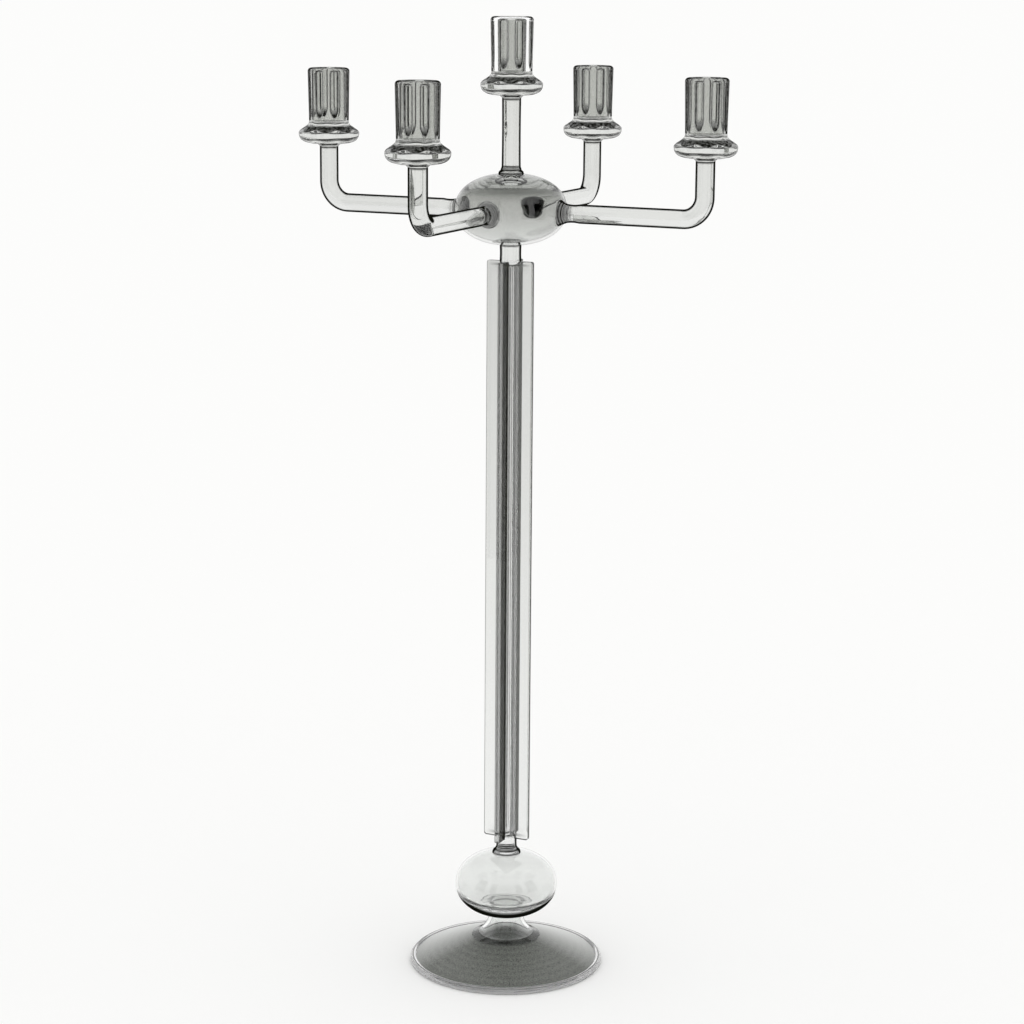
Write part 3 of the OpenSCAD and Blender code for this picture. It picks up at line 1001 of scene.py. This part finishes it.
# Blown smoke glass, deepest under the crown of the hub
hub_glass = blown_glass("smoke_blown_hub", [
    (478, "#EDEEED"), (494, "#D9DAD8"), (508, "#C8C9C6"), (514, "#9FA19D"),
], limb=(0.78, 0.98), ripple_depth=0.006)
# Smoke glass of the cups: the ribbed walls are painted black at their sides, the collars only at their very
# edge
cup_glass = blown_glass("smoke_ribbed_cup", [(540, "#D8D9D6"), (620, "#D2D3D0")], limb=(0.45, 0.65),
                        rod=True)
collar_glass = blown_glass("smoke_drip_collar", [(540, "#DDDEDB"), (620, "#D8D9D6")], limb=(0.68, 0.92))
white_backing = white_rim_backing()

# ---- The pieces, from the table up ----------------------------------------------------------------------

piece("foot_rim", [rim_glass, white_backing], lathe(rim_shape(), rim_lines))
piece("foot_dish", [dish_glass, white_backing], lathe(dish_shape()))
piece("foot_neck", [neck_glass, seam], lathe(trumpet_shape()))

air = lathe(cavity(lower_oval, BULB_WALL, BULB_BASE, -1), lambda p: THICK_INSIDE * thick_base(p))
piece("lower_bulb", [bulb_glass, seam], lathe(lower_bulb_shape(), thick_base), air)
skirt = skirt_shape(lower_oval, lower_seal_top, lower_neck_r, lower_seal_r, LOWER_RIPPLE)
lines = skirt_lines(bulb_top, lower_seal_top)
piece("lower_seal", [seal_glass, seam], lathe(skirt, lines, UPRIGHT))

neck = rod_shape(lower_seal_top, column_low, lower_neck_r)
piece("lower_neck", [seal_glass, seam], lathe(neck, None, UPRIGHT))
piece("column", [column_glass, seam], column_shell())
joint = ring_line(hub_low + HUB_JOINT[0], HUB_JOINT[1])
piece("upper_neck", [rod_glass, seam], lathe(upper_neck_shape(), joint, UPRIGHT))

air = lathe(cavity(hub_oval, HUB_WALL, HUB_THICK_TOP, 1))
piece("hub_bulb", [hub_glass, seam], hub_outside(), air)
skirt = skirt_shape(hub_oval, top_seal_top, rod_r, top_seal_r, TOP_RIPPLE)
lines = skirt_lines(hub_top, top_seal_top)
piece("top_seal", [rod_glass, seam], lathe(skirt, lines, UPRIGHT))

stem = rod_shape(top_seal_top, stem_top, rod_r)
joint = ring_line(stem_top - COLLAR_JOINT[0], COLLAR_JOINT[1])
piece("centre_stem", [rod_glass, seam], lathe(stem, joint, UPRIGHT))

for k, side in enumerate(("right", "back", "left", "front")):
    turn = Matrix.Rotation(k * pi / 2, 4, "Z")
    piece("arm_seal_" + side, [rod_glass, seam], placed(arm_seal_shell(), turn))
    piece("arm_" + side, [rod_glass, seam], placed(arm_shell(), turn))

for side in ("centre", "right", "back", "left", "front"):
    collar, socket = "drip_collar_" + side, "socket_" + side
    middle = (low(collar) + high(collar)) / 2
    middle.z = low(collar).z + COLLAR_DOWN
    move = Matrix.Translation(middle)
    piece(collar, [collar_glass, seam], placed(collar_shell(), move))
    move = Matrix.Translation(middle + Vector((0, 0, COLLAR_UP)))
    piece(socket, [cup_glass, seam], placed(socket_shell(), move))

# ---- Floor, light and camera ----------------------------------------------------------------------------

scene = bpy.context.scene


def card(name, size, centre, rotation, material):
    """A flat stage piece of the studio, in millimetres."""
    data = bpy.data.meshes.new(name)
    w, h = size[0] * MM / 2, size[1] * MM / 2
    data.from_pydata([(-w, -h, 0), (w, -h, 0), (w, h, 0), (-w, h, 0)], [], [(0, 1, 2, 3)])
    data.materials.append(material)
    made = bpy.data.objects.new(name, data)
    made.location = Vector(centre) * MM
    made.rotation_euler = rotation
    scene.collection.objects.link(made)
    return made


def matt_paint(name, colour):
    """Matt studio paint, rolled."""
    material, tree = new_tree(name)
    surface = node(tree, "ShaderNodeBsdfDiffuse", {"Color": linear(colour)})
    node(tree, "ShaderNodeOutputMaterial", {"Surface": surface.outputs["BSDF"]})
    return material


# A pale floor, wide enough to reach past the edge of every view
FLOOR_SIZE = 120000
card("floor", (FLOOR_SIZE, FLOOR_SIZE), (0, 0, 0), (0, 0, 0), matt_paint("floor_paint", "#F8F8F7"))

# The camera looks along the azimuth below, in degrees. Black cards stand round the glass, out of the
# camera's sight, and give it its dark lines: each is (angle from straight behind the glass, width).
AZIMUTH = 24.76
FLAGS = ((118, 500), (-118, 500), (150, 300), (-150, 300))
FLAG_AWAY = 1150
FLAG_HEIGHT = 1100
FLAG_MIDDLE = 560
flock = matt_paint("black_flock", "#101010")
for k, (around, width) in enumerate(FLAGS):
    angle = radians(AZIMUTH + around)
    centre = (-sin(angle) * FLAG_AWAY, cos(angle) * FLAG_AWAY, FLAG_MIDDLE)
    flag = card(f"flag_{k}", (width, FLAG_HEIGHT), centre, (pi / 2, 0, angle), flock)
    flag.visible_camera = flag.visible_diffuse = flag.visible_shadow = False

# Even white light from all round
STUDIO_LIGHT = 1.04
world = bpy.data.worlds.new("studio")
world.use_nodes = True
sky = world.node_tree
sky.nodes.clear()
backdrop = node(sky, "ShaderNodeBackground", {"Color": linear("#FFFFFF"), "Strength": STUDIO_LIGHT})
node(sky, "ShaderNodeOutputWorld", {"Surface": backdrop.outputs["Background"]})
scene.world = world

# How far the camera looks down and leans, in degrees, and where it stands, in millimetres
PITCH = 11.90
ROLL = 0.397
STAND_BACK = 1657.8
CAMERA_HEIGHT = 655.2
lens = bpy.data.cameras.new("camera")
lens.lens = 92.25
lens.sensor_width = 36
lens.shift_x = 0.00315
lens.clip_end = 500
camera = bpy.data.objects.new("camera", lens)
turned = radians(AZIMUTH)
camera.location = Vector((sin(turned) * STAND_BACK, -cos(turned) * STAND_BACK, CAMERA_HEIGHT)) * MM
look = Euler((radians(90 - PITCH), 0, turned)).to_matrix() @ Matrix.Rotation(radians(ROLL), 3, "Z")
camera.rotation_euler = look.to_euler()
scene.collection.objects.link(camera)
scene.camera = camera

scene.view_settings.view_transform = "Standard"
# Light passes many walls of glass before it is spent
scene.cycles.max_bounces = 32
scene.cycles.transmission_bounces = 32
scene.cycles.transparent_max_bounces = 48
scene.cycles.glossy_bounces = 16
